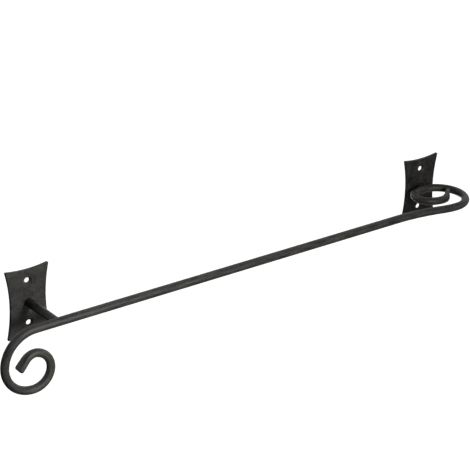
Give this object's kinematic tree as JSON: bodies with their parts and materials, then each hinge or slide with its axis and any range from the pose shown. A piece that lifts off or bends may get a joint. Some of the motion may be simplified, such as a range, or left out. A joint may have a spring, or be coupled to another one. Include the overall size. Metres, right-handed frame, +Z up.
{
  "type": "towel bar",
  "caption": "Wall towel bar in black forged iron: a round rod with a scroll at each end, held off the wall by waisted plates with screw holes.",
  "frame": {"origin": "on the wall, midway between the plates, at the centre of the pattern of screw holes", "axes": "+X along the bar to the right as seen from the room, +Y into the wall, +Z up"},
  "size_m": [0.7093, 0.0871, 0.1238],
  "materials": {
    "black_iron": "satin black over hand-forged iron"
  },
  "bodies": {
    "root": {"towel_bar": "black_iron", "left_back_plate": "black_iron", "right_back_plate": "black_iron", "left_post": "black_iron", "right_stub": "black_iron"}
  },
  "joints": []
}
